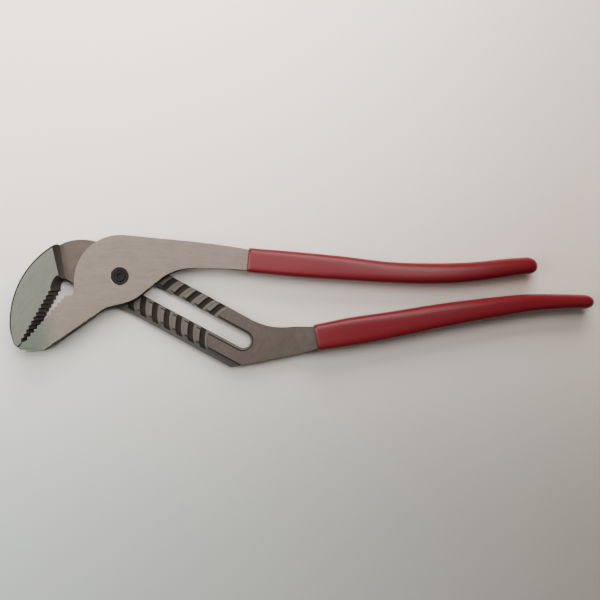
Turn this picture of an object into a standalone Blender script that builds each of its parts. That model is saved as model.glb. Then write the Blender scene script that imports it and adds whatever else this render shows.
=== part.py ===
"""Tongue and groove pliers, about 420 mm long, as the six pieces they come apart into.

Two steel forgings cross at a bolt.  The lower one is slotted and carries the left jaw and eleven
curved grooves; the upper one carries the right jaw and a tongue that the grooves hold.  A round
nut holds the bolt, and each handle has a dipped grip.

Lengths are millimetres and become metres where a mesh is made.  The origin is on the pivot axis,
on the plane that the pliers lie on.  +X runs towards the handle ends and +Z up along the pivot.
The slot has a frame of its own: s runs along it from the pivot's closest setting, n across it.
"""

import math

import bmesh
import bpy
from mathutils import Vector

METRES = 0.001
GAP = 0.3
OVERSHOOT = 3.0
ARC_STEP = math.radians(10.0)
SMOOTH_ANGLE = math.radians(30.0)
FAR = 80.0

# Levels above the plane that the pliers lie on.
HEAD_THICKNESS = 14.3
LOWER_PLATE_TOP = 7.6
UPPER_PLATE_BOTTOM = LOWER_PLATE_TOP + GAP
LAND_TOP = 6.5
LEDGE_TOP = 5.6
STRIP_TOP = 5.4
BORDER_TOP = 5.2
GROOVE_FLOOR = 4.4
TONGUE_BOTTOM = LAND_TOP + GAP
HANDLE_AXIS_HEIGHT = 7.3

# Slot, grooves and tongue.
SLOT_ANGLE = math.radians(-28.2)
GROOVE_COUNT = 11
GROOVE_PITCH = 9.75
SLOT_TRAVEL = GROOVE_PITCH * (GROOVE_COUNT - 1)
SLOT_END_PLAY = 0.3
SLOT_HALF_WIDTH = 5.6
LEDGE_HALF_WIDTH = 6.9
RAIL_EDGE = 16.5
LOWER_EDGE = 21.0
GROOVE_RUN_OUT = 2.2
BORDER_RUN_OUT = 15.0
GROOVE_OUTER_RADIUS = 31.3
GROOVE_INNER_RADIUS = 27.7
STRIP_INNER_RADIUS = 25.3
TONGUE_OUTER_RADIUS = 29.4
TONGUE_INNER_RADIUS = 28.0
TONGUE_HALF_ANGLE = math.radians(32.0)
TONGUE_STEPS = 8

# Floors are cut past the edges they meet, so that no two walls coincide.
FLOOR_OVERLAP = 0.5
BORDER_OVERLAP = 1.0
BEYOND_RAIL = RAIL_EDGE + 7.5
BEYOND_EDGE = LOWER_EDGE + 6.0

# Fastener.
BOLT_HEAD_RADIUS = 8.0
BOLT_HEAD_HEIGHT = 2.3
BOLT_NECK_RADIUS = SLOT_HALF_WIDTH - GAP
BOLT_JOURNAL_RADIUS = 4.85
BOLT_END_RADIUS = 3.7
BOLT_TOP = 14.0
DIMPLE_RADIUS = 2.2
DIMPLE_DEPTH = 1.2
NUT_RADIUS = 6.1
NUT_BOTTOM = 11.6
NUT_TOP = 13.9
ROUND_SIDES = 40

# Jaws: teeth are cut along a line of valleys, and each crest stands TOOTH_DEPTH proud of it.
TOOTH_COUNT = 12
TOOTH_DEPTH = 1.5
UPPER_TOOTH_LINE = ((-37.0, -13.3), (-65.3, -45.2))
LOWER_TOOTH_LINE = ((-48.9, -7.9), (-69.5, -44.2))
JAW_STEP_TOP = ((-48.7, 20.5), (-44.7, 1.2))
JAW_STEP_FOOT = ((-45.9, 22.7), (-41.9, -1.8))

# The tongue forging's full-height jaw ends in a wall beside the slotted forging's lower edge.
STEP_CLEARANCE = 0.9
STEP_CORNER_Y = -12.7
STEP_CORNER_RADIUS = 8.0

# Necks, as the upper and the lower corner where each forging's plate ends.
UPPER_NECK = ((74.0, 21.8), (74.0, 5.2))
LOWER_NECK = ((124.5, -36.1), (128.0, -55.6))
NECK_RAMP_LENGTH = 15.0
RAMP_LEAD = 0.5

# Grips: centre line and width at stations along each handle, then the round end.
UPPER_STATIONS = (
    (90.8, 11.7, 17.8), (125.4, 8.6, 18.3), (158.6, 5.9, 17.3), (191.8, 3.0, 15.3),
    (222.9, 2.15, 15.2), (250.3, 3.3, 14.4), (277.8, 6.5, 13.4), (291.0, 7.9, 12.4),
)
LOWER_STATIONS = (
    (139.1, -43.9, 18.9), (164.4, -39.5, 20.3), (193.9, -34.6, 19.2), (223.4, -29.1, 17.7),
    (245.8, -25.4, 16.4), (273.4, -21.4, 14.6), (291.9, -19.1, 13.2), (314.9, -18.2, 11.3),
    (331.0, -18.2, 10.5),
)
UPPER_GRIP_END = 298.5
LOWER_GRIP_END = 339.0
GRIP_WALL = 1.3
GRIP_START_THICKNESS = 13.6
GRIP_END_THICKNESS = 12.5
GRIP_START_SQUARENESS = 5.0
GRIP_END_SQUARENESS = 2.4
TANG_END_SCALE = 0.8
GRIP_RINGS = 18
GRIP_SIDES = 20
END_RINGS = 4
END_TURN = math.radians(80.0)
SLOPE_SPAN = 1.0

STEEL_COLOUR = (0.36, 0.33, 0.29)
SLOTTED_STEEL_COLOUR = (0.33, 0.31, 0.27)
BOLT_COLOUR = (0.16, 0.16, 0.16)
NUT_COLOUR = (0.07, 0.07, 0.07)
VINYL_COLOUR = (0.22, 0.02, 0.025)


# ---- Outlines ----

def fillet(corner, before, after, radius):
    """Arc of a radius that rounds a corner between the directions to its two neighbours."""
    half = before.angle(after) / 2
    tangent_length = radius / math.tan(half)
    bisector = (before.normalized() + after.normalized()).normalized()
    centre = corner + bisector * (radius / math.sin(half))
    start = corner + before.normalized() * tangent_length - centre
    sweep = math.pi - 2 * half
    if before.x * after.y - before.y * after.x > 0:
        sweep = -sweep
    steps = max(1, math.ceil(abs(sweep) / ARC_STEP))
    return [centre + rotated(start, sweep * i / steps) for i in range(steps + 1)]


def rotated(vector, angle):
    """A plane vector turned counter-clockwise."""
    cosine, sine = math.cos(angle), math.sin(angle)
    return Vector((vector.x * cosine - vector.y * sine, vector.x * sine + vector.y * cosine))


def rounded_outline(corners):
    """Closed outline through corners (x, y, fillet radius)."""
    points = []
    for i, (x, y, radius) in enumerate(corners):
        corner = Vector((x, y))
        if radius == 0:
            points.append(corner)
            continue
        before = Vector(corners[i - 1][:2]) - corner
        after = Vector(corners[(i + 1) % len(corners)][:2]) - corner
        points.extend(fillet(corner, before, after, radius))
    return points


def sharp(*points):
    """Corners that keep no fillet."""
    return [(x, y, 0.0) for x, y in points]


def teeth(line, crest_side):
    """Corners of a serrated edge along a line of valleys; crest_side is +1 or -1 across it."""
    start, end = Vector(line[0]), Vector(line[1])
    pitch = (end - start) / TOOTH_COUNT
    crest = rotated(pitch.normalized(), math.pi / 2) * crest_side * TOOTH_DEPTH
    corners = [start]
    for i in range(TOOTH_COUNT):
        corners.append(start + pitch * (i + 0.5) + crest)
        corners.append(start + pitch * (i + 1))
    return sharp(*corners)


def at_height(line, y):
    """The point of a line at a given y."""
    start, end = Vector(line[0]), Vector(line[1])
    return start + (end - start) * ((y - start.y) / (end.y - start.y))


def slot_point(s, n):
    """A point of the slot's frame, s along the slot and n across it, in the plane of the pliers."""
    return rotated(Vector((s, n)), SLOT_ANGLE)


def groove_arc(setting, radius, n_start, n_end):
    """Arc about the pivot at one groove setting, on the jaw side of it, between two values of n."""
    centre = setting * GROOVE_PITCH
    first, last = math.asin(n_start / radius), math.asin(n_end / radius)
    steps = max(2, math.ceil(abs(last - first) / ARC_STEP))
    angles = [first + (last - first) * i / steps for i in range(steps + 1)]
    return [slot_point(centre - radius * math.cos(a), radius * math.sin(a)) for a in angles]


def obround(half_width):
    """Outline around the slot's centre line, from end to end."""
    sides = ROUND_SIDES // 2
    right = [-math.pi / 2 + math.pi * i / sides for i in range(sides + 1)]
    start = slot_point(-SLOT_END_PLAY, 0.0)
    end = slot_point(SLOT_TRAVEL + SLOT_END_PLAY, 0.0)
    spoke = Vector((half_width, 0.0))
    return ([end + rotated(spoke, a + SLOT_ANGLE) for a in right]
            + [start + rotated(spoke, a + SLOT_ANGLE + math.pi) for a in right])


def upper_outline():
    """Outline of the tongue forging, from the neck's upper corner round the jaw to the lower one."""
    return rounded_outline(
        sharp(UPPER_NECK[0])
        + [(55.0, 24.3, 60.0), (-33.1, 32.8, 33.0), (-32.3, -13.2, 2.5)]
        + teeth(UPPER_TOOTH_LINE, -1)
        + [(-68.9, -46.9, 0.0), (-71.6, -51.0, 0.0), (-72.3, -51.4, 0.6), (-64.5, -53.8, 16.0)]
        + [(-55.8, -53.6, 17.0), (-10.0, -22.1, 16.0), (9.0, -17.7, 28.0), (38.5, 5.85, 36.0)]
        + sharp(UPPER_NECK[1]))


def lower_outline():
    """Outline of the slotted forging, from the neck's upper corner round the jaw to the lower one."""
    teeth_from_tip = list(reversed(teeth(LOWER_TOOTH_LINE, 1)))
    return rounded_outline(
        sharp(LOWER_NECK[0])
        + [(104.2, -37.5, 45.0), (-8.9, 23.5, 30.0), (-27.0, 26.85, 30.0), (-40.5, 26.75, 34.0)]
        + [(-78.3, 1.85, 64.0), (-78.3, -38.0, 35.0), (-75.1, -49.0, 6.0)]
        + [(-71.75, -50.7, 0.0), (-69.3, -46.6, 0.0)]
        + teeth_from_tip
        + [(-47.7, -4.2, 0.0), (-44.0, -0.2, 1.5), (77.5, -65.8, 5.0)]
        + sharp(LOWER_NECK[1]))


# ---- Solids ----

def make_object(name, bm):
    """An object of a mesh, with its faces pointing out and its round faces smooth."""
    bmesh.ops.recalc_face_normals(bm, faces=bm.faces)
    mesh = bpy.data.meshes.new(name)
    bm.to_mesh(mesh)
    bm.free()
    mesh.shade_smooth()
    mesh.set_sharp_from_angle(angle=SMOOTH_ANGLE)
    made = bpy.data.objects.new(name, mesh)
    bpy.context.scene.collection.objects.link(made)
    return made


def new_ring(bm, points):
    """Vertices at points given in millimetres."""
    return [bm.verts.new(Vector(point) * METRES) for point in points]


def bridge(bm, first, second):
    """Faces between two rings of as many vertices."""
    for i in range(len(first)):
        bm.faces.new((first[i - 1], first[i], second[i], second[i - 1]))


def add_loft(bm, rings, closed=False):
    """A closed solid through rings of points; a closed loft also joins its last ring to its first."""
    made = [new_ring(bm, ring) for ring in rings]
    for first, second in zip(made, made[1:]):
        bridge(bm, first, second)
    if closed:
        bridge(bm, made[-1], made[0])
        return
    bm.faces.new(made[0])
    bm.faces.new(made[-1])


def level(outline, height):
    """An outline's points at one height."""
    return [(point.x, point.y, height) for point in outline]


def prisms(name, outlines, bottom, top):
    """One object with an upright prism on each outline."""
    bm = bmesh.new()
    for outline in outlines:
        add_loft(bm, [level(outline, bottom), level(outline, top)])
    return make_object(name, bm)


def lofted(name, rings, closed=False):
    """One lofted object."""
    bm = bmesh.new()
    add_loft(bm, rings, closed)
    return make_object(name, bm)


def turned(name, profile, closed=False):
    """A round piece about the pivot axis, from its profile of (radius, height) points."""
    angles = [2 * math.pi * i / ROUND_SIDES for i in range(ROUND_SIDES)]
    rings = [[(r * math.cos(a), r * math.sin(a), z) for a in angles] for r, z in profile]
    return lofted(name, rings, closed)


def combine(target, other, operation):
    """Joins another object to the target, or cuts it away, and leaves it as a guide."""
    boolean = target.modifiers.new(other.name, "BOOLEAN")
    boolean.operation = operation
    boolean.solver = "EXACT"
    boolean.object = other
    other.display_type = "WIRE"
    other.hide_render = True


def cut(target, *cutters):
    """Cuts each cutter away from the target."""
    for cutter in cutters:
        combine(target, cutter, "DIFFERENCE")


# ---- Handles ----

def station_at(stations, x):
    """Centre line height y and width at x, on a smooth curve through the stations."""
    last = len(stations) - 2
    i = max(0, min(last, sum(1 for station in stations if station[0] <= x) - 1))
    x0, x1 = stations[i][0], stations[i + 1][0]
    t = (x - x0) / (x1 - x0)
    values = []
    for k in (1, 2):
        rises = [station_slope(stations, j, k) * (x1 - x0) for j in (i, i + 1)]
        start, end = stations[i][k], stations[i + 1][k]
        values.append(start * (2 * t**3 - 3 * t**2 + 1) + end * (3 * t**2 - 2 * t**3)
                      + rises[0] * (t**3 - 2 * t**2 + t) + rises[1] * (t**3 - t**2))
    return values


def station_slope(stations, i, k):
    """Slope of value k at station i, from its neighbours."""
    before, after = stations[max(i - 1, 0)], stations[min(i + 1, len(stations) - 1)]
    return (after[k] - before[k]) / (after[0] - before[0])


def handle_section(stations, x):
    """Centre, direction across, half width, half thickness and squareness of a grip at x."""
    y, width = station_at(stations, x)
    ahead, behind = station_at(stations, x + SLOPE_SPAN / 2), station_at(stations, x - SLOPE_SPAN / 2)
    across = Vector((behind[0] - ahead[0], SLOPE_SPAN, 0.0)).normalized()
    share = (x - stations[0][0]) / (stations[-1][0] - stations[0][0])
    thickness = GRIP_START_THICKNESS + (GRIP_END_THICKNESS - GRIP_START_THICKNESS) * share
    squareness = GRIP_START_SQUARENESS + (GRIP_END_SQUARENESS - GRIP_START_SQUARENESS) * share
    return Vector((x, y, HANDLE_AXIS_HEIGHT)), across, width / 2, thickness / 2, squareness


def grip_ring(stations, x, scale=1.0, advance=0.0):
    """Outer section of a grip at x; scale shrinks it and advance moves it on, for the round end."""
    centre, across, half_width, half_thickness, squareness = handle_section(stations, x)
    centre.x += advance
    up = Vector((0.0, 0.0, 1.0))
    ring = []
    for i in range(GRIP_SIDES):
        turn = 2 * math.pi * (i + 0.5) / GRIP_SIDES
        wide = math.copysign(abs(math.cos(turn)) ** (2 / squareness), math.cos(turn))
        high = math.copysign(abs(math.sin(turn)) ** (2 / squareness), math.sin(turn))
        ring.append(centre + across * (half_width * scale * wide) + up * (half_thickness * scale * high))
    return ring


def tang_ring(stations, x, margin):
    """Rectangular section of the steel inside a grip at x, a margin inside the grip's surface."""
    centre, across, half_width, half_thickness, _ = handle_section(stations, x)
    share = max(0.0, (x - stations[0][0]) / (stations[-1][0] - stations[0][0]))
    fit = 1.0 + (TANG_END_SCALE - 1.0) * share
    wide = across * (half_width * fit - margin)
    high = Vector((0.0, 0.0, half_thickness * fit - margin))
    return [centre + wide - high, centre + wide + high, centre - wide + high, centre - wide - high]


def tang_positions(stations):
    """Where the tang's sections are, from the grip's start to the last station."""
    start, end = stations[0][0], stations[-1][0]
    return [start + (end - start) * i / GRIP_RINGS for i in range(GRIP_RINGS + 1)]


def make_forging(name, outline, stations):
    """Full-height prism whose closing side, the neck's end, is drawn out into the tang."""
    bm = bmesh.new()
    low = new_ring(bm, level(outline, 0.0))
    high = new_ring(bm, level(outline, HEAD_THICKNESS))
    for i in range(1, len(outline)):
        bm.faces.new((low[i - 1], low[i], high[i], high[i - 1]))
    bm.faces.new(low)
    bm.faces.new(high)
    section = [low[0], high[0], high[-1], low[-1]]
    for x in tang_positions(stations):
        following = new_ring(bm, tang_ring(stations, x, GRIP_WALL + GAP))
        bridge(bm, section, following)
        section = following
    bm.faces.new(section)
    return make_object(name, bm)


def make_grip(name, stations, end):
    """Dipped grip: the outer skin with its round end, hollowed for the tang from its open start."""
    rings = [grip_ring(stations, x) for x in tang_positions(stations)]
    end_length = end - stations[-1][0]
    for i in range(1, END_RINGS + 1):
        turn = END_TURN * i / END_RINGS
        rings.append(grip_ring(stations, stations[-1][0], math.cos(turn), end_length * math.sin(turn)))
    grip = lofted(name, rings)
    hollow_from = [stations[0][0] - OVERSHOOT] + tang_positions(stations)
    hollow_rings = [tang_ring(stations, x, GRIP_WALL) for x in hollow_from]
    hollow_end = [point + Vector((GAP, 0.0, 0.0)) for point in hollow_rings[-1]]
    cut(grip, lofted(name + "_hollow", hollow_rings + [hollow_end]))
    return grip


# ---- Pieces ----

def upper_plate_space():
    """Room under the tongue forging's plate: from the jaw's wall to the neck, which slopes down again."""
    step_edge = -LOWER_EDGE - STEP_CLEARANCE
    step_far = slot_point(-FAR, step_edge)
    step_corner = at_height((slot_point(0.0, step_edge), step_far), STEP_CORNER_Y)
    ramp_end = UPPER_NECK[0][0] - RAMP_LEAD
    bottom = -OVERSHOOT
    tang_bottom = HANDLE_AXIS_HEIGHT - GRIP_START_THICKNESS / 2 + GRIP_WALL + GAP
    ramp_slope = NECK_RAMP_LENGTH / (UPPER_PLATE_BOTTOM - tang_bottom)
    ramp_low_end = ramp_end + (UPPER_PLATE_BOTTOM - bottom) * ramp_slope
    rings = []
    for end, height in ((ramp_low_end, bottom), (ramp_end, UPPER_PLATE_BOTTOM)):
        plan = rounded_outline(
            sharp((step_far.x, step_far.y))
            + [(step_corner.x, step_corner.y, STEP_CORNER_RADIUS)]
            + sharp((step_corner.x, -FAR), (end, -FAR), (end, FAR), (step_far.x, FAR)))
        rings.append(level(plan, height))
    return lofted("upper_plate_space", rings)


def tongue():
    """Curved tongue about the pivot, as long as the grooves and facing the slotted forging's jaw."""
    middle = SLOT_ANGLE + math.pi
    outline = []
    for radius, direction in ((TONGUE_INNER_RADIUS, 1), (TONGUE_OUTER_RADIUS, -1)):
        for i in range(TONGUE_STEPS + 1):
            angle = middle + direction * TONGUE_HALF_ANGLE * (2 * i / TONGUE_STEPS - 1)
            outline.append(rotated(Vector((radius, 0.0)), angle))
    return prisms("tongue", [outline], TONGUE_BOTTOM, UPPER_PLATE_BOTTOM + GAP)


def make_upper_handle():
    """Tongue forging: its plate lies over the slotted one, and its jaw is full height."""
    forging = make_forging("upper_handle", upper_outline(), UPPER_STATIONS)
    bore_radius = BOLT_JOURNAL_RADIUS + GAP
    counterbore_radius = NUT_RADIUS + GAP
    cut(forging, upper_plate_space())
    combine(forging, tongue(), "UNION")
    cut(forging,
        turned("bolt_hole", [(bore_radius, 0.0), (bore_radius, HEAD_THICKNESS)]),
        turned("counterbore", [(counterbore_radius, NUT_BOTTOM - GAP),
                               (counterbore_radius, HEAD_THICKNESS + OVERSHOOT)]))
    return forging


def lower_plate_space(top):
    """Room over the slotted forging's plate, between the jaw's sloped step and the neck's ramp."""
    rise = (top - LOWER_PLATE_TOP) / (HEAD_THICKNESS - LOWER_PLATE_TOP)
    tang_top = HANDLE_AXIS_HEIGHT + GRIP_START_THICKNESS / 2 - GRIP_WALL - GAP
    ramp_shift = (top - LOWER_PLATE_TOP) * NECK_RAMP_LENGTH / (tang_top - LOWER_PLATE_TOP)
    rings = []
    for share, shift, height in ((0.0, 0.0, LOWER_PLATE_TOP), (rise, ramp_shift, top)):
        plan = []
        for y in (FAR, -FAR):
            foot, crest = at_height(JAW_STEP_FOOT, y), at_height(JAW_STEP_TOP, y)
            plan.append(foot + (crest - foot) * share)
        for y in (-FAR, FAR):
            plan.append(at_height(LOWER_NECK, y) + Vector((shift - RAMP_LEAD, 0.0)))
        rings.append(level(plan, height))
    return lofted("lower_plate_space", rings)


def curved_band(setting, outer_radius, inner_radius, low_end):
    """Outline between two arcs about the pivot at a setting, from low_end to beyond the upper rail."""
    return (groove_arc(setting, outer_radius, low_end, BEYOND_RAIL)
            + groove_arc(setting, inner_radius, BEYOND_RAIL, low_end))


def track_floors(top):
    """Cutters of the slotted plate's floors: the lands' field, the border, the strips and the grooves."""
    inside_border = -RAIL_EDGE - BORDER_OVERLAP
    groove_middle = (GROOVE_OUTER_RADIUS + GROOVE_INNER_RADIUS) / 2
    strip_middle = (GROOVE_INNER_RADIUS + STRIP_INNER_RADIUS) / 2
    field = (groove_arc(0, groove_middle + FLOOR_OVERLAP, inside_border, BEYOND_RAIL)
             + groove_arc(GROOVE_COUNT - 1, strip_middle, BEYOND_RAIL, inside_border))
    border_end = SLOT_TRAVEL + BORDER_RUN_OUT
    border = (groove_arc(0, groove_middle, -BEYOND_EDGE, -RAIL_EDGE)
              + [slot_point(border_end, -RAIL_EDGE), slot_point(border_end, -BEYOND_EDGE)])
    grooves, strips = [], []
    for k in range(GROOVE_COUNT):
        # The first groove runs out through the lower edge, where the tongue leaves it.
        groove_end = -BEYOND_EDGE if k == 0 else -RAIL_EDGE - GROOVE_RUN_OUT
        strip_outer_radius = GROOVE_INNER_RADIUS + 2 * FLOOR_OVERLAP
        grooves.append(curved_band(k, GROOVE_OUTER_RADIUS, GROOVE_INNER_RADIUS, groove_end))
        strips.append(curved_band(k, strip_outer_radius, STRIP_INNER_RADIUS, inside_border))
    return [
        prisms("groove_field", [field], LAND_TOP, top),
        prisms("border_band", [border], BORDER_TOP, top),
        prisms("strip_floors", strips, STRIP_TOP, top),
        prisms("groove_floors", grooves, GROOVE_FLOOR, top)]


def make_lower_handle():
    """Slotted forging: full height at its jaw, then a plate with the slot, the track and the grooves."""
    forging = make_forging("lower_handle", lower_outline(), LOWER_STATIONS)
    top = HEAD_THICKNESS + OVERSHOOT
    cut(forging,
        lower_plate_space(top),
        *track_floors(top),
        prisms("track_ledge", [obround(LEDGE_HALF_WIDTH)], LEDGE_TOP, top),
        prisms("slot", [obround(SLOT_HALF_WIDTH)], -OVERSHOOT, top),
        prisms("head_recess", [obround(BOLT_HEAD_RADIUS + GAP)], -OVERSHOOT, BOLT_HEAD_HEIGHT + GAP))
    return forging


def make_pivot_bolt():
    """Bolt: flat head under the slot, neck in the slot, journal in the upper forging, dimpled end."""
    journal_top = NUT_BOTTOM - GAP
    return turned("pivot_bolt", [
        (BOLT_HEAD_RADIUS, 0.0), (BOLT_HEAD_RADIUS, BOLT_HEAD_HEIGHT),
        (BOLT_NECK_RADIUS, BOLT_HEAD_HEIGHT), (BOLT_NECK_RADIUS, LOWER_PLATE_TOP),
        (BOLT_JOURNAL_RADIUS, LOWER_PLATE_TOP), (BOLT_JOURNAL_RADIUS, journal_top),
        (BOLT_END_RADIUS, journal_top), (BOLT_END_RADIUS, BOLT_TOP),
        (DIMPLE_RADIUS, BOLT_TOP), (DIMPLE_RADIUS, BOLT_TOP - DIMPLE_DEPTH)])


def make_pivot_nut():
    """Round nut around the bolt's end, in the counterbore."""
    bore = BOLT_END_RADIUS + GAP
    return turned("pivot_nut", [
        (bore, NUT_BOTTOM), (NUT_RADIUS, NUT_BOTTOM), (NUT_RADIUS, NUT_TOP), (bore, NUT_TOP)], closed=True)


def finish(piece, colour, roughness, metallic):
    """Gives a piece a material of its own."""
    material = bpy.data.materials.new(piece.name)
    material.use_nodes = True
    shader = material.node_tree.nodes["Principled BSDF"]
    shader.inputs["Base Color"].default_value = (*colour, 1.0)
    shader.inputs["Roughness"].default_value = roughness
    shader.inputs["Metallic"].default_value = metallic
    piece.data.materials.append(material)


def main():
    for existing in list(bpy.data.objects):
        bpy.data.objects.remove(existing, do_unlink=True)
    finish(make_upper_handle(), STEEL_COLOUR, 0.35, 1.0)
    finish(make_lower_handle(), SLOTTED_STEEL_COLOUR, 0.4, 1.0)
    finish(make_pivot_bolt(), BOLT_COLOUR, 0.4, 1.0)
    finish(make_pivot_nut(), NUT_COLOUR, 0.35, 1.0)
    finish(make_grip("upper_grip", UPPER_STATIONS, UPPER_GRIP_END), VINYL_COLOUR, 0.3, 0.0)
    finish(make_grip("lower_grip", LOWER_STATIONS, LOWER_GRIP_END), VINYL_COLOUR, 0.25, 0.0)


main()
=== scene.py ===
"""Looks of the tongue and groove pliers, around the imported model.

The two forgings, the grips, the bolt and the nut are built again with fine curves and broken edges,
in the CAD model's frame, and each replaces its node.  Lengths are millimetres and become metres
where a mesh or a material is made; lamps and camera are placed in metres.
"""

import math
from collections import namedtuple

import bmesh
import bpy
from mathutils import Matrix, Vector


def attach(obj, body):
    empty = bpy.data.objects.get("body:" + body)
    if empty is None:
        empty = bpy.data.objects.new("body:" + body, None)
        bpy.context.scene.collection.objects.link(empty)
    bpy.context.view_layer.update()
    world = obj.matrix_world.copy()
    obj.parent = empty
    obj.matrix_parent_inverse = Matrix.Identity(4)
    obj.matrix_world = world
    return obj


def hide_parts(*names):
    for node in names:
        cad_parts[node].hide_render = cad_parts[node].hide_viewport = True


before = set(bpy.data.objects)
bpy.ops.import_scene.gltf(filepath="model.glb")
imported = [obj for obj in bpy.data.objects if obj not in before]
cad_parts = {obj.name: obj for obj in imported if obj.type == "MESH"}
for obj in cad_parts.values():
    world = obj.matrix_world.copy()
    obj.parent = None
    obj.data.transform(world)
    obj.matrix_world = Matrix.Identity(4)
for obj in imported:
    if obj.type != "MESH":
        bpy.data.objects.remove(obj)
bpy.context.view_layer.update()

METRES = 0.001
GAP = 0.3
OVERSHOOT = 3.0
ARC_STEP = math.radians(3.0)
FAR = 80.0
MERGE_DISTANCE = 0.001

# Levels above the plane that the pliers lie on.
HEAD_THICKNESS = 14.3
LOWER_PLATE_TOP = 7.6
UPPER_PLATE_BOTTOM = LOWER_PLATE_TOP + GAP
LAND_TOP = 6.5
RECESS_TOP = 5.4
GROOVE_FLOOR = 4.4
TONGUE_BOTTOM = LAND_TOP + GAP
HANDLE_AXIS_HEIGHT = 7.3

# Forged shape: the sides draw in below a parting line, the top edge is chamfered (its drop is a share
# of its width), floors meet their walls at a slope, and every sharp edge is broken.
UPPER_PARTING = 7.2
LOWER_PARTING = 4.0
DRAFT = 1.3
UPPER_CHAMFER = 0.2
LOWER_CHAMFER = 1.4
CHAMFER_DROP = 0.4
WALL_SLOPE_RUN = 0.65
EDGE_BREAK = 0.25
SHARP_ANGLE = math.radians(30.0)

# The sides stay square near the teeth: no draft or chamfer within a clearance, then a fade to all of it.
TOOTH_CLEARANCE = 3.0
TOOTH_FADE = 6.0

# Slot, grooves and tongue.
SLOT_ANGLE = math.radians(-28.2)
GROOVE_COUNT = 11
GROOVE_PITCH = 9.75
SLOT_TRAVEL = GROOVE_PITCH * (GROOVE_COUNT - 1)
SLOT_END_PLAY = 0.3
SLOT_HALF_WIDTH = 5.6
LEDGE_HALF_WIDTH = 6.9
RAIL_EDGE = 16.5
LOWER_EDGE = 21.0
GROOVE_RUN_OUT = 2.2
BORDER_RUN_OUT = 15.0
GROOVE_ARC_STEPS = 16
GROOVE_OUTER_RADIUS = 31.3
GROOVE_INNER_RADIUS = 27.7
STRIP_INNER_RADIUS = 25.3
TONGUE_OUTER_RADIUS = 29.4
TONGUE_INNER_RADIUS = 28.0
TONGUE_HALF_ANGLE = math.radians(32.0)
TONGUE_STEPS = 16

# Floors are cut past the edges they meet, so that no two walls coincide.
FLOOR_OVERLAP = 0.5
BORDER_OVERLAP = 1.0
BEYOND_RAIL = RAIL_EDGE + 7.5
BEYOND_EDGE = LOWER_EDGE + 6.0

# Fastener.
BOLT_HEAD_RADIUS = 8.0
BOLT_HEAD_HEIGHT = 2.3
BOLT_NECK_RADIUS = SLOT_HALF_WIDTH - GAP
BOLT_JOURNAL_RADIUS = 4.85
BOLT_END_RADIUS = 3.7
BOLT_TOP = 14.0
DIMPLE_RADIUS = 2.2
DIMPLE_DEPTH = 1.2
NUT_RADIUS = 6.1
NUT_BOTTOM = 11.6
NUT_TOP = 13.9
ROUND_SIDES = 96

# Jaws: teeth are cut along a line of valleys, and each crest stands TOOTH_DEPTH proud of it.
TOOTH_COUNT = 12
TOOTH_DEPTH = 1.5
UPPER_TOOTH_LINE = ((-37.0, -13.3), (-65.3, -45.2))
LOWER_TOOTH_LINE = ((-48.9, -7.9), (-69.5, -44.2))
JAW_STEP_TOP = ((-48.7, 20.5), (-44.7, 1.2))
JAW_STEP_FOOT = ((-45.9, 22.7), (-41.9, -1.8))

# The tongue forging's full-height jaw ends in a wall beside the slotted forging's lower edge.
STEP_CLEARANCE = 0.9
STEP_CORNER_Y = -12.7
STEP_CORNER_RADIUS = 8.0

# Necks, as the upper and the lower corner where each forging's plate ends.
UPPER_NECK = ((74.0, 21.8), (74.0, 5.2))
LOWER_NECK = ((124.5, -36.1), (128.0, -55.6))
NECK_RAMP_LENGTH = 15.0
RAMP_LEAD = 0.5

# Grips: centre line and width at stations along each handle, then the round end.
UPPER_STATIONS = (
    (90.8, 11.7, 17.8), (125.4, 8.6, 18.3), (158.6, 5.9, 17.3), (191.8, 3.0, 15.3),
    (222.9, 2.15, 15.2), (250.3, 3.3, 14.4), (277.8, 6.5, 13.4), (291.0, 7.9, 12.4),
)
LOWER_STATIONS = (
    (139.1, -43.9, 18.9), (164.4, -39.5, 20.3), (193.9, -34.6, 19.2), (223.4, -29.1, 17.7),
    (245.8, -25.4, 16.4), (273.4, -21.4, 14.6), (291.9, -19.1, 13.2), (314.9, -18.2, 11.3),
    (331.0, -18.2, 10.5),
)
UPPER_GRIP_END = 298.5
LOWER_GRIP_END = 339.0
GRIP_WALL = 1.3
GRIP_START_THICKNESS = 13.6
GRIP_END_THICKNESS = 12.5
GRIP_START_SQUARENESS = 5.0
GRIP_END_SQUARENESS = 2.4
TANG_END_SCALE = 0.8
GRIP_RINGS = 90
GRIP_SIDES = 72
END_RINGS = 14
END_TURN = math.radians(88.0)
SLOPE_SPAN = 1.0
TANG_REACH = 14.0
HOLLOW_DEPTH = 20.0

# Heights of a tang section's points, as shares of its half thickness: one for each ring of a forging.
TANG_LEVELS = (-1.0, 0.0, 0.9, 1.0)

# Steel colours change with height, where each level's colour starts a margin below it, and with slope,
# which is the upward share of the surface's normal; slopes get a colour darker than the oxide, as painted
# shade.
LEVEL_MARGIN = 0.4
TOP_MARGIN = 0.07
FLAT_SLOPES = (0.90, 0.95)
PAINTED_SHADE_SLOPES = (0.05, 0.3)
# Heights of the top chamfer where wear specks are brightened further as painted glints.
WEAR_AND_GLINT_HEIGHTS = (13.73, 13.87)

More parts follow.
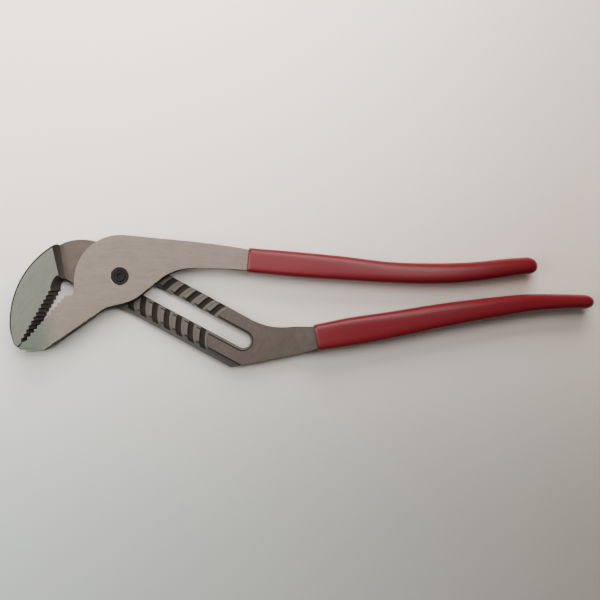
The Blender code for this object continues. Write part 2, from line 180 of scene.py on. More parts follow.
# Stage, in metres, but for the camera's sensor and lens.  Lamps: name, place, the point that each one
# faces, size, watts, spread in degrees, and the kinds of ray that don't see it.
FLOOR_REACH = 3.0
CAMERA_PLACE = (0.1276, -0.0168, 0.3495)
CAMERA_SENSOR = 36.0
CAMERA_LENS = 28.44
LAMPS = (
    ("low_window", (0.22, 0.75, 0.40), (0.22, 0.0, 0.0), (0.70, 0.35), 9.4, 180.0, ("glossy",)),
    ("left_window", (-0.50, 0.02, 0.45), (0.05, 0.0, 0.0), (0.40, 0.40), 3.05, 180.0, ()),
    ("side_window", (0.268, 0.35, 0.526), (-0.332, 0.521, 0.0), (0.60, 0.50), 5.3, 102.0, ()),
    ("ceiling", (0.10, 0.35, 0.60), (0.10, 0.0, 0.0), (0.50, 0.30), 2.4, 180.0, ()),
    ("sheen_panel", (-0.20, -0.03, 0.60), (-0.20, -0.03, 0.0), (0.70, 0.35), 1.3, 180.0, ("diffuse",)),
)


# ---- Outlines ----

def fillet(corner, before, after, radius):
    """Arc of a radius that rounds a corner between the directions to its two neighbours."""
    half = before.angle(after) / 2
    tangent_length = radius / math.tan(half)
    bisector = (before.normalized() + after.normalized()).normalized()
    centre = corner + bisector * (radius / math.sin(half))
    start = corner + before.normalized() * tangent_length - centre
    sweep = math.pi - 2 * half
    if before.x * after.y - before.y * after.x > 0:
        sweep = -sweep
    steps = max(1, math.ceil(abs(sweep) / ARC_STEP))
    return [centre + rotated(start, sweep * i / steps) for i in range(steps + 1)]


def rotated(vector, angle):
    """A plane vector turned counter-clockwise."""
    cosine, sine = math.cos(angle), math.sin(angle)
    return Vector((vector.x * cosine - vector.y * sine, vector.x * sine + vector.y * cosine))


def rounded_outline(corners):
    """Closed outline through corners (x, y, fillet radius)."""
    points = []
    for i, (x, y, radius) in enumerate(corners):
        corner = Vector((x, y))
        if radius == 0:
            points.append(corner)
            continue
        before = Vector(corners[i - 1][:2]) - corner
        after = Vector(corners[(i + 1) % len(corners)][:2]) - corner
        points.extend(fillet(corner, before, after, radius))
    return points


def sharp(*points):
    """Corners that keep no fillet."""
    return [(x, y, 0.0) for x, y in points]


def teeth(line, crest_side):
    """Corners of a serrated edge along a line of valleys; crest_side is +1 or -1 across it."""
    start, end = Vector(line[0]), Vector(line[1])
    pitch = (end - start) / TOOTH_COUNT
    crest = rotated(pitch.normalized(), math.pi / 2) * crest_side * TOOTH_DEPTH
    corners = [start]
    for i in range(TOOTH_COUNT):
        corners.append(start + pitch * (i + 0.5) + crest)
        corners.append(start + pitch * (i + 1))
    return sharp(*corners)


def at_height(line, y):
    """The point of a line at a given y."""
    start, end = Vector(line[0]), Vector(line[1])
    return start + (end - start) * ((y - start.y) / (end.y - start.y))


def slot_point(s, n):
    """A point of the slot's frame, s along the slot and n across it, in the plane of the pliers."""
    return rotated(Vector((s, n)), SLOT_ANGLE)


def groove_arc(setting, radius, n_start, n_end):
    """Arc about the pivot at one groove setting, on the jaw side of it, between two values of n."""
    centre = setting * GROOVE_PITCH
    first, last = math.asin(n_start / radius), math.asin(n_end / radius)
    angles = [first + (last - first) * i / GROOVE_ARC_STEPS for i in range(GROOVE_ARC_STEPS + 1)]
    return [slot_point(centre - radius * math.cos(a), radius * math.sin(a)) for a in angles]


def obround(half_width):
    """Outline around the slot's centre line, from end to end."""
    sides = ROUND_SIDES // 2
    right = [-math.pi / 2 + math.pi * i / sides for i in range(sides + 1)]
    start = slot_point(-SLOT_END_PLAY, 0.0)
    end = slot_point(SLOT_TRAVEL + SLOT_END_PLAY, 0.0)
    spoke = Vector((half_width, 0.0))
    return ([end + rotated(spoke, a + SLOT_ANGLE) for a in right]
            + [start + rotated(spoke, a + SLOT_ANGLE + math.pi) for a in right])


def upper_outline():
    """Outline of the tongue forging, from the neck's upper corner round the jaw to the lower one."""
    return rounded_outline(
        sharp(UPPER_NECK[0])
        + [(55.0, 24.3, 60.0), (-33.1, 32.8, 33.0), (-32.3, -13.2, 2.5)]
        + teeth(UPPER_TOOTH_LINE, -1)
        + [(-68.9, -46.9, 0.0), (-71.6, -51.0, 0.0), (-72.3, -51.4, 0.6), (-64.5, -53.8, 16.0)]
        + [(-55.8, -53.6, 17.0), (-10.0, -22.1, 16.0), (9.0, -17.7, 28.0), (38.5, 5.85, 36.0)]
        + sharp(UPPER_NECK[1]))


def lower_outline():
    """Outline of the slotted forging, from the neck's upper corner round the jaw to the lower one."""
    edge_corner = (77.5, -65.8, 5.0)
    teeth_from_tip = list(reversed(teeth(LOWER_TOOTH_LINE, 1)))
    return rounded_outline(
        sharp(LOWER_NECK[0])
        + [(104.2, -37.5, 45.0), (-8.9, 23.5, 30.0), (-27.0, 26.85, 30.0), (-40.5, 26.75, 34.0)]
        + [(-78.3, 1.85, 64.0), (-78.3, -38.0, 35.0), (-75.1, -49.0, 6.0)]
        + [(-71.75, -50.7, 0.0), (-69.3, -46.6, 0.0)]
        + teeth_from_tip
        + [(-47.7, -4.2, 0.0), (-44.0, -0.2, 1.5), edge_corner]
        + sharp(LOWER_NECK[1]))


def clamped(share):
    """A share held between 0 and 1."""
    return max(0.0, min(1.0, share))


def inset(outline, amount, tooth_line):
    """The outline moved in by an amount, but not near the jaw's teeth, which are cut square."""
    start, end = Vector(tooth_line[0]), Vector(tooth_line[1])
    moved = []
    for i, point in enumerate(outline):
        before, after = outline[max(i - 1, 0)], outline[min(i + 1, len(outline) - 1)]
        inward = rotated((after - before).normalized(), math.pi / 2)
        share = clamped((point - start).dot(end - start) / (end - start).length_squared)
        distance = (point - start.lerp(end, share)).length
        moved.append(point + inward * amount * clamped((distance - TOOTH_CLEARANCE) / TOOTH_FADE))
    return moved


# ---- Solids ----

def make_object(name, bm):
    """An object of a mesh, with its faces pointing out."""
    bmesh.ops.recalc_face_normals(bm, faces=bm.faces)
    mesh = bpy.data.meshes.new(name)
    bm.to_mesh(mesh)
    bm.free()
    mesh.shade_smooth()
    made = bpy.data.objects.new(name, mesh)
    bpy.context.scene.collection.objects.link(made)
    return made


def new_ring(bm, points):
    """Vertices at points given in millimetres."""
    return [bm.verts.new(Vector(point) * METRES) for point in points]


def bridge(bm, first, second):
    """Faces between two rings of as many vertices."""
    for i in range(len(first)):
        bm.faces.new((first[i - 1], first[i], second[i], second[i - 1]))


def add_loft(bm, rings, closed=False):
    """A closed solid through rings of points; a closed loft also joins its last ring to its first."""
    made = [new_ring(bm, ring) for ring in rings]
    for first, second in zip(made, made[1:]):
        bridge(bm, first, second)
    if closed:
        bridge(bm, made[-1], made[0])
        return
    bm.faces.new(made[0])
    bm.faces.new(made[-1])


def level(outline, height):
    """An outline's points at one height."""
    return [(point.x, point.y, height) for point in outline]


def prisms(name, outlines, bottom, top):
    """One object with an upright prism on each outline."""
    bm = bmesh.new()
    for outline in outlines:
        add_loft(bm, [level(outline, bottom), level(outline, top)])
    return make_object(name, bm)


def lofted(name, rings, closed=False):
    """One lofted object."""
    bm = bmesh.new()
    add_loft(bm, rings, closed)
    return make_object(name, bm)


def turned(name, profile, closed=False):
    """A round piece about the pivot axis, from its profile of (radius, height) points."""
    angles = [2 * math.pi * i / ROUND_SIDES for i in range(ROUND_SIDES)]
    rings = [[(r * math.cos(a), r * math.sin(a), z) for a in angles] for r, z in profile]
    return lofted(name, rings, closed)


def combine(target, other, operation):
    """Joins another object to the target, or cuts it away, and removes it."""
    boolean = target.modifiers.new(other.name, "BOOLEAN")
    boolean.operation = operation
    boolean.solver = "EXACT"
    boolean.object = other
    apply_modifiers(target)
    bpy.data.objects.remove(other, do_unlink=True)


def cut(target, *cutters):
    """Cuts each cutter away from the target."""
    for cutter in cutters:
        combine(target, cutter, "DIFFERENCE")


def apply_modifiers(target):
    """Makes the object's evaluated shape its own mesh."""
    evaluated = target.evaluated_get(bpy.context.evaluated_depsgraph_get())
    shaped = bpy.data.meshes.new_from_object(evaluated)
    target.modifiers.clear()
    target.data = shaped


def break_edges(target):
    """Rounds the object's sharp edges a little, as grinding and tumbling leave them."""
    bm = bmesh.new()
    bm.from_mesh(target.data)
    bmesh.ops.remove_doubles(bm, verts=bm.verts, dist=MERGE_DISTANCE * METRES)
    bmesh.ops.dissolve_degenerate(bm, edges=bm.edges, dist=MERGE_DISTANCE * METRES)
    weight = bm.edges.layers.float.new("bevel_weight_edge")
    for edge in bm.edges:
        edge[weight] = float(edge.calc_face_angle(0.0) > SHARP_ANGLE)
    bmesh.ops.triangulate(bm, faces=[face for face in bm.faces if len(face.verts) > 4])
    bm.to_mesh(target.data)
    bm.free()
    bevel = target.modifiers.new("edge_break", "BEVEL")
    bevel.width = EDGE_BREAK * METRES
    bevel.segments = 2
    bevel.limit_method = "WEIGHT"
    bevel.use_clamp_overlap = False
    bevel.loop_slide = False
    bevel.miter_outer = "MITER_ARC"
    smooth = target.modifiers.new("smooth_normals", "WEIGHTED_NORMAL")
    smooth.keep_sharp = False
    smooth.weight = 100
    apply_modifiers(target)


# ---- Handles ----

def station_at(stations, x):
    """Centre line height y and width at x, on a smooth curve through the stations."""
    last = len(stations) - 2
    i = max(0, min(last, sum(1 for station in stations if station[0] <= x) - 1))
    x0, x1 = stations[i][0], stations[i + 1][0]
    t = (x - x0) / (x1 - x0)
    values = []
    for k in (1, 2):
        rises = [station_slope(stations, j, k) * (x1 - x0) for j in (i, i + 1)]
        start, end = stations[i][k], stations[i + 1][k]
        values.append(start * (2 * t**3 - 3 * t**2 + 1) + end * (3 * t**2 - 2 * t**3)
                      + rises[0] * (t**3 - 2 * t**2 + t) + rises[1] * (t**3 - t**2))
    return values


def station_slope(stations, i, k):
    """Slope of value k at station i, from its neighbours."""
    before, after = stations[max(i - 1, 0)], stations[min(i + 1, len(stations) - 1)]
    return (after[k] - before[k]) / (after[0] - before[0])


def handle_section(stations, x):
    """Centre, direction across, half width, half thickness and squareness of a grip at x."""
    y, width = station_at(stations, x)
    rise = station_at(stations, x + SLOPE_SPAN / 2)[0] - station_at(stations, x - SLOPE_SPAN / 2)[0]
    across = Vector((-rise, SLOPE_SPAN, 0.0)).normalized()
    share = (x - stations[0][0]) / (stations[-1][0] - stations[0][0])
    thickness = GRIP_START_THICKNESS + (GRIP_END_THICKNESS - GRIP_START_THICKNESS) * share
    squareness = GRIP_START_SQUARENESS + (GRIP_END_SQUARENESS - GRIP_START_SQUARENESS) * share
    return Vector((x, y, HANDLE_AXIS_HEIGHT)), across, width / 2, thickness / 2, squareness


def grip_ring(stations, x, scale=1.0, advance=0.0):
    """Outer section of a grip at x; scale shrinks it and advance moves it on, for the round end."""
    centre, across, half_width, half_thickness, squareness = handle_section(stations, x)
    centre.x += advance
    up = Vector((0.0, 0.0, 1.0))
    ring = []
    for i in range(GRIP_SIDES):
        turn = 2 * math.pi * (i + 0.5) / GRIP_SIDES
        wide = math.copysign(abs(math.cos(turn)) ** (2 / squareness), math.cos(turn))
        high = math.copysign(abs(math.sin(turn)) ** (2 / squareness), math.sin(turn))
        ring.append(centre + across * (half_width * scale * wide) + up * (half_thickness * scale * high))
    return ring


def tang_ring(stations, x, margin):
    """Section of the steel inside a grip at x, a margin inside the grip's surface."""
    centre, across, half_width, half_thickness, _ = handle_section(stations, x)
    along = max(0.0, (x - stations[0][0]) / (stations[-1][0] - stations[0][0]))
    fit = 1.0 + (TANG_END_SCALE - 1.0) * along
    wide = across * (half_width * fit - margin)
    high = Vector((0.0, 0.0, half_thickness * fit - margin))
    upward = [centre + wide + high * rise for rise in TANG_LEVELS]
    downward = [centre - wide + high * rise for rise in reversed(TANG_LEVELS)]
    return upward + downward


def sections(start, end, count):
    """Evenly spaced positions along a handle."""
    return [start + (end - start) * i / count for i in range(count + 1)]


def make_forging(name, outline, tooth_line, parting, chamfer, stations):
    """Drafted prism with a chamfered top edge; its closing side is drawn out into the start of the tang."""
    bm = bmesh.new()
    chamfer_foot = HEAD_THICKNESS - CHAMFER_DROP * chamfer
    profile = ((DRAFT, 0.0), (0.0, parting), (0.0, chamfer_foot), (chamfer, HEAD_THICKNESS))
    rings = [new_ring(bm, level(inset(outline, amount, tooth_line), height)) for amount, height in profile]
    for low, high in zip(rings, rings[1:]):
        for i in range(1, len(outline)):
            bm.faces.new((low[i - 1], low[i], high[i], high[i - 1]))
    bm.faces.new(rings[0])
    bm.faces.new(rings[-1])
    section = [ring[0] for ring in rings] + [ring[-1] for ring in reversed(rings)]
    start = stations[0][0]
    for x in (start, start + TANG_REACH):
        following = new_ring(bm, tang_ring(stations, x, GRIP_WALL + GAP))
        bridge(bm, section, following)
        section = following
    bm.faces.new(section)
    return make_object(name, bm)


def make_grip(name, stations, end):
    """Dipped grip: the outer skin with its round end, hollowed for the tang from its open start."""
    last = stations[-1][0]
    rings = [grip_ring(stations, x) for x in sections(stations[0][0], last, GRIP_RINGS)]
    for i in range(1, END_RINGS + 1):
        turn = END_TURN * i / END_RINGS
        rings.append(grip_ring(stations, last, math.cos(turn), (end - last) * math.sin(turn)))
    grip = lofted(name, rings)
    start = stations[0][0]
    hollow = [tang_ring(stations, x, GRIP_WALL) for x in (start - OVERSHOOT, start + HOLLOW_DEPTH)]
    cut(grip, lofted(name + "_hollow", hollow))
    return grip


# ---- Pieces ----

def upper_plate_space():
    """Room under the tongue forging's plate: from the jaw's wall to the neck, which slopes down again."""
    step_edge = -LOWER_EDGE - STEP_CLEARANCE
    step_far = slot_point(-FAR, step_edge)
    step_corner = at_height((slot_point(0.0, step_edge), step_far), STEP_CORNER_Y)
    ramp_end = UPPER_NECK[0][0] - RAMP_LEAD
    bottom = -OVERSHOOT
    tang_bottom = HANDLE_AXIS_HEIGHT - GRIP_START_THICKNESS / 2 + GRIP_WALL + GAP
    ramp_slope = NECK_RAMP_LENGTH / (UPPER_PLATE_BOTTOM - tang_bottom)
    ramp_low_end = ramp_end + (UPPER_PLATE_BOTTOM - bottom) * ramp_slope
    rings = []
    for end, height in ((ramp_low_end, bottom), (ramp_end, UPPER_PLATE_BOTTOM)):
        plan = rounded_outline(
            sharp((step_far.x, step_far.y))
            + [(step_corner.x, step_corner.y, STEP_CORNER_RADIUS)]
            + sharp((step_corner.x, -FAR), (end, -FAR), (end, FAR), (step_far.x, FAR)))
        rings.append(level(plan, height))
    return lofted("upper_plate_space", rings)


def make_tongue():
    """Curved tongue about the pivot, as long as the grooves and facing the slotted forging's jaw."""
    middle = SLOT_ANGLE + math.pi
    outline = []
    for radius, direction in ((TONGUE_INNER_RADIUS, 1), (TONGUE_OUTER_RADIUS, -1)):
        for i in range(TONGUE_STEPS + 1):
            angle = middle + direction * TONGUE_HALF_ANGLE * (2 * i / TONGUE_STEPS - 1)
            outline.append(rotated(Vector((radius, 0.0)), angle))
    return prisms("tongue", [outline], TONGUE_BOTTOM, UPPER_PLATE_BOTTOM + GAP)


def make_upper_handle():
    """Tongue forging: its plate lies over the slotted one, and its jaw is full height."""
    forging = make_forging("upper_forging", upper_outline(), UPPER_TOOTH_LINE, UPPER_PARTING,
                           UPPER_CHAMFER, UPPER_STATIONS)
    bore_radius = BOLT_JOURNAL_RADIUS + GAP
    counterbore_radius = NUT_RADIUS + GAP
    cut(forging, upper_plate_space())
    combine(forging, make_tongue(), "UNION")
    cut(forging,
        turned("bolt_hole", [(bore_radius, 0.0), (bore_radius, HEAD_THICKNESS)]),
        turned("counterbore", [(counterbore_radius, NUT_BOTTOM - GAP),
                               (counterbore_radius, HEAD_THICKNESS + OVERSHOOT)]))
    return forging


def lower_plate_space(top):
    """Room over the slotted forging's plate, between the jaw's sloped step and the neck's ramp."""
    rise = (top - LOWER_PLATE_TOP) / (HEAD_THICKNESS - LOWER_PLATE_TOP)
    tang_top = HANDLE_AXIS_HEIGHT + GRIP_START_THICKNESS / 2 - GRIP_WALL - GAP
    ramp_shift = (top - LOWER_PLATE_TOP) * NECK_RAMP_LENGTH / (tang_top - LOWER_PLATE_TOP)
    rings = []
    for share, shift, height in ((0.0, 0.0, LOWER_PLATE_TOP), (rise, ramp_shift, top)):
        plan = []
        for y in (FAR, -FAR):
            foot, crest = at_height(JAW_STEP_FOOT, y), at_height(JAW_STEP_TOP, y)
            plan.append(foot + (crest - foot) * share)
        for y in (-FAR, FAR):
            plan.append(at_height(LOWER_NECK, y) + Vector((shift - RAMP_LEAD, 0.0)))
        rings.append(level(plan, height))
    return lofted("lower_plate_space", rings)


def curved_band(setting, outer_radius, inner_radius, low_end):
    """Outline between two arcs about the pivot at a setting, from low_end to beyond the upper rail."""
    return (groove_arc(setting, outer_radius, low_end, BEYOND_RAIL)
            + groove_arc(setting, inner_radius, BEYOND_RAIL, low_end))


def border_outline(radius, edge):
    """Outline of the plain border below the grooves, from an arc at the jaw to past the last groove."""
    end = SLOT_TRAVEL + BORDER_RUN_OUT
    return groove_arc(0, radius, -BEYOND_EDGE, edge) + [slot_point(end, edge), slot_point(end, -BEYOND_EDGE)]


def sloped_recess(name, outline_at, top):
    """Cutter with walls that slope from the recess's floor to the lands; outline_at takes their run."""
    profile = ((0.0, RECESS_TOP), (WALL_SLOPE_RUN, LAND_TOP), (WALL_SLOPE_RUN, top))
    return lofted(name, [level(outline_at(run), height) for run, height in profile])


def track_floors(top):
    """Cutters of the slotted plate's floors: the lands' field, the border, the strips and the grooves."""
    inside_border = -RAIL_EDGE - BORDER_OVERLAP
    groove_middle = (GROOVE_OUTER_RADIUS + GROOVE_INNER_RADIUS) / 2
    strip_middle = (GROOVE_INNER_RADIUS + STRIP_INNER_RADIUS) / 2
    field = (groove_arc(0, groove_middle + FLOOR_OVERLAP, inside_border, BEYOND_RAIL)
             + groove_arc(GROOVE_COUNT - 1, strip_middle, BEYOND_RAIL, inside_border))
    grooves, strips = [], []
    for k in range(GROOVE_COUNT):
        # The first groove runs out through the lower edge, where the tongue leaves it.
        groove_end = -BEYOND_EDGE if k == 0 else -RAIL_EDGE - GROOVE_RUN_OUT
        strip_outer_radius = GROOVE_INNER_RADIUS + 2 * FLOOR_OVERLAP
        grooves.append(curved_band(k, GROOVE_OUTER_RADIUS, GROOVE_INNER_RADIUS, groove_end))
        strips.append(curved_band(k, strip_outer_radius, STRIP_INNER_RADIUS, inside_border))
    return [
        prisms("groove_field", [field], LAND_TOP, top),
        sloped_recess("border_band", lambda run: border_outline(groove_middle, run - RAIL_EDGE), top),
        prisms("strip_floors", strips, RECESS_TOP, top),
        prisms("groove_floors", grooves, GROOVE_FLOOR, top),
        sloped_recess("track_ledge", lambda run: obround(LEDGE_HALF_WIDTH + run), top)]


def make_lower_handle():
    """Slotted forging: full height at its jaw, then a plate with the slot, the track and the grooves."""
    forging = make_forging("lower_forging", lower_outline(), LOWER_TOOTH_LINE, LOWER_PARTING,
                           LOWER_CHAMFER, LOWER_STATIONS)
    top = HEAD_THICKNESS + OVERSHOOT
    cut(forging,
        lower_plate_space(top),
        *track_floors(top),
        prisms("slot", [obround(SLOT_HALF_WIDTH)], -OVERSHOOT, top),
        prisms("head_recess", [obround(BOLT_HEAD_RADIUS + GAP)], -OVERSHOOT, BOLT_HEAD_HEIGHT + GAP))
    return forging


def make_bolt():
    """Bolt: flat head under the slot, neck in the slot, journal in the upper forging, dimpled end."""
    journal_top = NUT_BOTTOM - GAP
    return turned("bolt", [
        (BOLT_HEAD_RADIUS, 0.0), (BOLT_HEAD_RADIUS, BOLT_HEAD_HEIGHT),
        (BOLT_NECK_RADIUS, BOLT_HEAD_HEIGHT), (BOLT_NECK_RADIUS, LOWER_PLATE_TOP),
        (BOLT_JOURNAL_RADIUS, LOWER_PLATE_TOP), (BOLT_JOURNAL_RADIUS, journal_top),
        (BOLT_END_RADIUS, journal_top), (BOLT_END_RADIUS, BOLT_TOP),
        (DIMPLE_RADIUS, BOLT_TOP), (DIMPLE_RADIUS, BOLT_TOP - DIMPLE_DEPTH)])


def make_nut():
    """Round nut around the bolt's end, in the counterbore."""
    bore = BOLT_END_RADIUS + GAP
    return turned("nut", [
        (bore, NUT_BOTTOM), (NUT_RADIUS, NUT_BOTTOM), (NUT_RADIUS, NUT_TOP), (bore, NUT_TOP)], closed=True)


# ---- Materials ----

class Shading:
    """A material and the nodes that make it."""

    def __init__(self, name):
        self.material = bpy.data.materials.new(name)
        self.material.use_nodes = True
        self.tree = self.material.node_tree
        self.shader = self.tree.nodes["Principled BSDF"]
        coordinates = self.tree.nodes.new("ShaderNodeTexCoord")
        self.position = coordinates.outputs["Object"]
        self.normal = coordinates.outputs["Normal"]

    def add(self, kind, inputs, output=0, **settings):
        """A node with its settings and inputs; each input is a constant or another node's output."""
        node = self.tree.nodes.new("ShaderNode" + kind)
        for key, value in settings.items():
            setattr(node, key, value)
        for key, value in inputs.items():
            self.feed(node.inputs[key], value)
        return node.outputs[output]

    def feed(self, socket, value):
        """Links a node's output to a socket, or sets the socket to a constant."""
        if isinstance(value, bpy.types.NodeSocket):
            self.tree.links.new(value, socket)
        else:
            socket.default_value = value

    def component(self, vector, axis):
        """One component of a vector: 0 for x, 1 for y, 2 for z."""
        return self.add("SeparateXYZ", {"Vector": vector}, output=axis)

    def math(self, operation, first, second=0.0):
        """Arithmetic on two numbers."""
        return self.add("Math", {0: first, 1: second}, operation=operation)

    def fade(self, value, start, end):
        """0 where the value is at start, 1 where it is at end, smooth between them."""
        return self.add("MapRange", {"Value": value, "From Min": start, "From Max": end},
                        interpolation_type="SMOOTHSTEP")

    def noise(self, scale, detail=2.0, stretch=(1.0, 1.0, 1.0), turn=0.0, roughness=0.5):
        """Noise of a scale per metre, stretched along the axes and turned about the pivot axis."""
        turned_position = self.add("VectorRotate", {"Vector": self.position, "Angle": turn},
                                   rotation_type="Z_AXIS")
        placed = self.add("Mapping", {"Vector": turned_position, "Scale": stretch})
        return self.add("TexNoise", {"Vector": placed, "Scale": scale, "Detail": detail,
                                     "Roughness": roughness})

    def blend(self, factor, first, second, kind="MIX"):
        """Mix of two colours."""
        node = self.tree.nodes.new("ShaderNodeMix")
        node.data_type = "RGBA"
        node.blend_type = kind
        self.feed(node.inputs[0], factor)
        self.feed(node.inputs[6], first)
        self.feed(node.inputs[7], second)
        return node.outputs[2]

    def steps(self, value, end, stops):
        """Colours that change in steps along a value from 0 to its end, from (value, colour) stops."""
        ramp = self.tree.nodes.new("ShaderNodeValToRGB")
        ramp.color_ramp.interpolation = "CONSTANT"
        elements = ramp.color_ramp.elements
        for start, _ in stops[2:]:
            elements.new(start / end)
        for element, (start, colour) in zip(elements, stops):
            element.position = start / end
            element.color = colour
        self.feed(ramp.inputs["Fac"], self.math("DIVIDE", value, end))
        return ramp.outputs["Color"]

    def bump(self, height, distance):
        """Bump from a height of 0 to 1 over a distance in metres."""
        self.feed(self.shader.inputs["Normal"], self.add("Bump", {"Height": height, "Distance": distance}))

    def set(self, **inputs):
        """Sets the shader's inputs, whose names are given with underscores for spaces."""
        for key, value in inputs.items():
            self.feed(self.shader.inputs[key.replace("_", " ")], value)


def rgb(red, green, blue):
    """A colour for a socket."""
    return (red, green, blue, 1.0)


# A second colour for part of a forging: how far along a direction and at which heights it fades in.
Tint = namedtuple("Tint", "direction reach heights colour")


def steel_material(name, stops, tint, grain_turn, oxide, painted_shade_rim, wear_and_glint=None):
    """Forged steel: ground flats by their height, dark oxide on walls, slopes darker still as painted shade,
    and worn top edges brightened with painted glints.
    """
    look = Shading(name)
    place_mm = look.add("VectorMath", {0: look.position, "Scale": 1 / METRES}, operation="SCALE")
    height = look.component(place_mm, 2)
    grain = look.noise(1500.0, detail=4.0, stretch=(0.06, 1.0, 1.0), turn=grain_turn, roughness=0.65)
    cloud = look.noise(90.0, detail=5.0)
    patch = look.noise(500.0, detail=3.0, stretch=(0.4, 1.0, 1.0), turn=grain_turn)
    ground = look.steps(height, HEAD_THICKNESS, stops)
    # Each noise, the values between which it darkens the steel, and how much of the dark it adds.
    layers = ((cloud, 0.4, 0.7, 0.16), (patch, 0.4, 0.75, 0.2), (grain, 0.35, 0.75, 0.3))
    for noise, start, end, share in layers:
        factor = look.math("MULTIPLY", look.fade(noise, start, end), share)
        ground = look.blend(factor, ground, rgb(0.62, 0.60, 0.57), "MULTIPLY")
    reach = look.add("VectorMath", {0: place_mm, 1: tint.direction}, output="Value", operation="DOT_PRODUCT")
    factor = look.math("MULTIPLY", look.fade(reach, *tint.reach), look.fade(height, *tint.heights))
    ground = look.blend(factor, ground, tint.colour, "MULTIPLY")
    upward = look.component(look.normal, 2)
    # Slopes between the walls and the flats blend to a colour darker than the oxide: painted shade on edges
    # turned from the light.
    wall = look.blend(look.fade(upward, *PAINTED_SHADE_SLOPES), oxide, painted_shade_rim)
    if wear_and_glint:
        # Bright specks on the top chamfer: wear, brightened further as painted glints.
        wear_and_glint_specks = look.fade(patch, 0.3, 0.6)
        wall = look.blend(look.math("MULTIPLY", look.fade(height, *WEAR_AND_GLINT_HEIGHTS), wear_and_glint_specks), wall, wear_and_glint)
    flat = look.fade(upward, *FLAT_SLOPES)
    look.set(Base_Color=look.blend(flat, wall, ground),
             Metallic=look.math("MULTIPLY", flat, 0.25),
             Roughness=look.math("ADD", look.math("MULTIPLY", grain, 0.2), 0.35),
             Specular_IOR_Level=0.03)
    look.bump(grain, 0.00002)
    return look.material


def upper_steel():
    """Ground steel of the tongue forging: warm on the head and the neck, greener on the jaw."""
    return steel_material(
        "upper_steel",
        stops=((0.0, rgb(0.06, 0.051, 0.042)), (UPPER_PLATE_BOTTOM, rgb(0.225, 0.183, 0.150))),
        tint=Tint(direction=(-1.0, 0.0, 0.0), reach=(40.0, 62.0), heights=(12.9, 13.2),
                  colour=rgb(0.50, 0.72, 0.68)),
        grain_turn=0.0,
        oxide=rgb(0.045, 0.039, 0.033),
        # Painted shade: the slopes' colour, darker than the oxide.
        painted_shade_rim=rgb(0.03, 0.026, 0.022),
        # Colour of the chamfer's wear specks, brighter than the ground steel as painted glints.
        wear_and_glint=rgb(0.5, 0.46, 0.40))


def lower_steel():
    """Steel of the slotted forging: dark grooves, browner plate, greyer border below the lands, and painted
    shade on the top chamfer and the slopes.
    """
    chamfer_foot = HEAD_THICKNESS - CHAMFER_DROP * LOWER_CHAMFER
    return steel_material(
        "lower_steel",
        stops=(
            (0.0, rgb(0.026, 0.022, 0.018)),
            (GROOVE_FLOOR - LEVEL_MARGIN, rgb(0.034, 0.028, 0.022)),
            (RECESS_TOP - LEVEL_MARGIN, rgb(0.132, 0.119, 0.100)),
            (LAND_TOP - LEVEL_MARGIN, rgb(0.138, 0.120, 0.102)),
            (LOWER_PLATE_TOP - LEVEL_MARGIN, rgb(0.117, 0.094, 0.079)),
            # Near-black on the jaw's top chamfer: painted shade of an edge turned from the light.
            (chamfer_foot - LEVEL_MARGIN, rgb(0.010, 0.009, 0.008)),
            (HEAD_THICKNESS - TOP_MARGIN, rgb(0.152, 0.152, 0.125)),
        ),
        tint=Tint(direction=(math.sin(SLOT_ANGLE), -math.cos(SLOT_ANGLE), 0.0),
                  reach=(RAIL_EDGE, RAIL_EDGE + 0.2), heights=(LAND_TOP + 0.2, LAND_TOP),
                  colour=rgb(0.60, 0.63, 0.64)),
        grain_turn=math.radians(-60.0),
        oxide=rgb(0.065, 0.055, 0.046),
        # Painted shade: the slopes' colour, darker than the oxide.
        painted_shade_rim=rgb(0.028, 0.023, 0.019))


def vinyl_material(name):
    """Glossy dipped vinyl, a little uneven where it ran off the handle."""
    look = Shading(name)
    runs = look.noise(30.0, detail=1.0, stretch=(0.3, 1.0, 1.0))
    look.set(Base_Color=rgb(0.155, 0.0105, 0.0150), Roughness=0.30, Specular_IOR_Level=0.4)
    look.bump(runs, 0.0003)
    return look.material


def fastener_material(name, colour, roughness):
    """Turned steel with fine rings about the pivot axis, oiled and dark."""
    look = Shading(name)
    across = look.add("VectorMath", {0: look.position, 1: (1.0, 1.0, 0.0)}, operation="MULTIPLY")
    radius = look.add("VectorMath", {0: across}, output="Value", operation="LENGTH")
    rings = look.add("TexNoise", {"W": radius, "Scale": 2500.0, "Detail": 2.0}, noise_dimensions="1D")
    dirt = look.noise(500.0, detail=4.0)
    dirty = look.blend(1.0, colour, rgb(0.55, 0.55, 0.55), "MULTIPLY")
    look.set(Base_Color=look.blend(look.fade(dirt, 0.35, 0.7), colour, dirty),
             Metallic=0.0,
             Roughness=look.math("ADD", look.math("MULTIPLY", rings, 0.2), roughness),
             Specular_IOR_Level=0.12)
    look.bump(rings, 0.00003)
    return look.material


def floor_material():
    """Matt pale board with painted light in its colour: a warm cast at the far side, a cooler cast at the
    near left, and painted shade that makes the near right darker and browner.
    """
    look = Shading("floor")
    fibre = look.noise(300.0, detail=3.0)
    # The board's colour across and along the floor is painted light: warm and cool casts, and painted shade
    # towards the near right.
    across = look.fade(look.component(look.position, 0), -0.20, 0.45)
    along = look.fade(look.component(look.position, 1), -0.20, 0.12)
    shaded_near_side = look.blend(across, rgb(0.82, 0.87, 0.82), rgb(0.50, 0.44, 0.37))
    warm_far_side = look.blend(across, rgb(1.0, 0.865, 0.785), rgb(1.0, 0.83, 0.70))
    board = look.blend(along, shaded_near_side, warm_far_side)
    look.set(Base_Color=look.blend(look.math("MULTIPLY", fibre, 0.06), board, rgb(0.5, 0.5, 0.5)),
             Roughness=0.85, Specular_IOR_Level=0.2)
    look.bump(fibre, 0.00005)
    return look.material


# ---- Scene ----

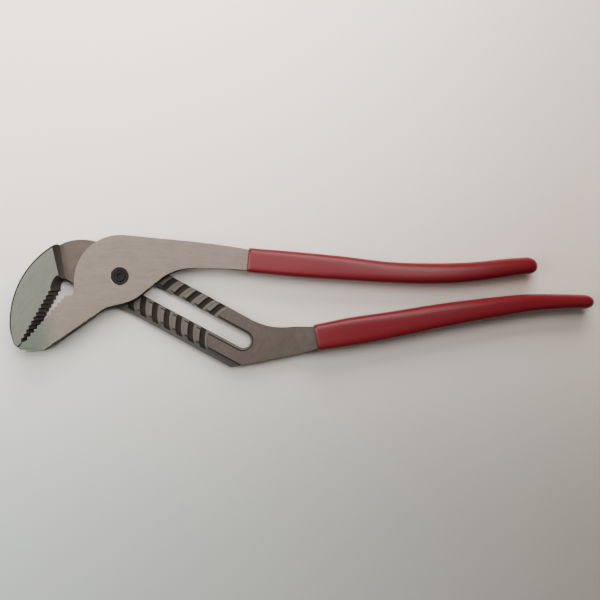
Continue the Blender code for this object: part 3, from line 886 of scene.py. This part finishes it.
def place(piece, node, body, material):
    """Puts a piece in its node's place, on the body that the node rides on."""
    piece.data.materials.clear()
    piece.data.materials.append(material)
    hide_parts(node)
    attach(piece, body)


def make_floor():
    """Large flat floor."""
    bm = bmesh.new()
    signs = ((-1, -1), (1, -1), (1, 1), (-1, 1))
    bm.faces.new([bm.verts.new((x * FLOOR_REACH, y * FLOOR_REACH, 0.0)) for x, y in signs])
    floor = make_object("floor", bm)
    floor.data.materials.append(floor_material())


def add_lamp(name, location, target, size, power, spread, missed_by):
    """Area lamp that faces a target and that some kinds of ray don't see."""
    data = bpy.data.lights.new(name, "AREA")
    data.shape = "RECTANGLE"
    data.size, data.size_y = size
    data.energy = power
    data.spread = math.radians(spread)
    lamp = bpy.data.objects.new(name, data)
    lamp.location = location
    lamp.rotation_euler = (Vector(target) - Vector(location)).to_track_quat("-Z", "Y").to_euler()
    for ray in missed_by:
        setattr(lamp, "visible_" + ray, False)
    bpy.context.scene.collection.objects.link(lamp)


def add_surroundings():
    """Dim, slightly blue light from all around."""
    world = bpy.data.worlds.new("surroundings")
    world.use_nodes = True
    background = world.node_tree.nodes["Background"]
    background.inputs["Color"].default_value = rgb(0.8, 0.9, 1.0)
    background.inputs["Strength"].default_value = 0.03
    bpy.context.scene.world = world


def add_camera():
    """Overhead camera above the middle of the pliers."""
    data = bpy.data.cameras.new("camera")
    data.sensor_width = CAMERA_SENSOR
    data.lens = CAMERA_LENS
    camera = bpy.data.objects.new("camera", data)
    camera.location = CAMERA_PLACE
    bpy.context.scene.collection.objects.link(camera)
    bpy.context.scene.camera = camera


def main():
    """Makes each piece on its body, then the floor, the lamps and the camera."""
    upper, lower = make_upper_handle(), make_lower_handle()
    bolt, nut = make_bolt(), make_nut()
    for piece in (upper, lower, bolt, nut):
        break_edges(piece)
    upper_grip = make_grip("upper_vinyl_grip", UPPER_STATIONS, UPPER_GRIP_END)
    lower_grip = make_grip("lower_vinyl_grip", LOWER_STATIONS, LOWER_GRIP_END)
    bolt_steel = fastener_material("bolt_steel", rgb(0.015, 0.015, 0.014), 0.35)
    nut_steel = fastener_material("nut_steel", rgb(0.019, 0.017, 0.015), 0.5)
    place(upper, "upper_handle", "upper_half", upper_steel())
    place(lower, "lower_handle", "lower_half", lower_steel())
    place(bolt, "pivot_bolt", "pivot_bolt", bolt_steel)
    place(nut, "pivot_nut", "pivot_nut", nut_steel)
    place(upper_grip, "upper_grip", "upper_half", vinyl_material("upper_vinyl"))
    place(lower_grip, "lower_grip", "lower_half", vinyl_material("lower_vinyl"))
    make_floor()
    add_surroundings()
    for lamp in LAMPS:
        add_lamp(*lamp)
    add_camera()


main()
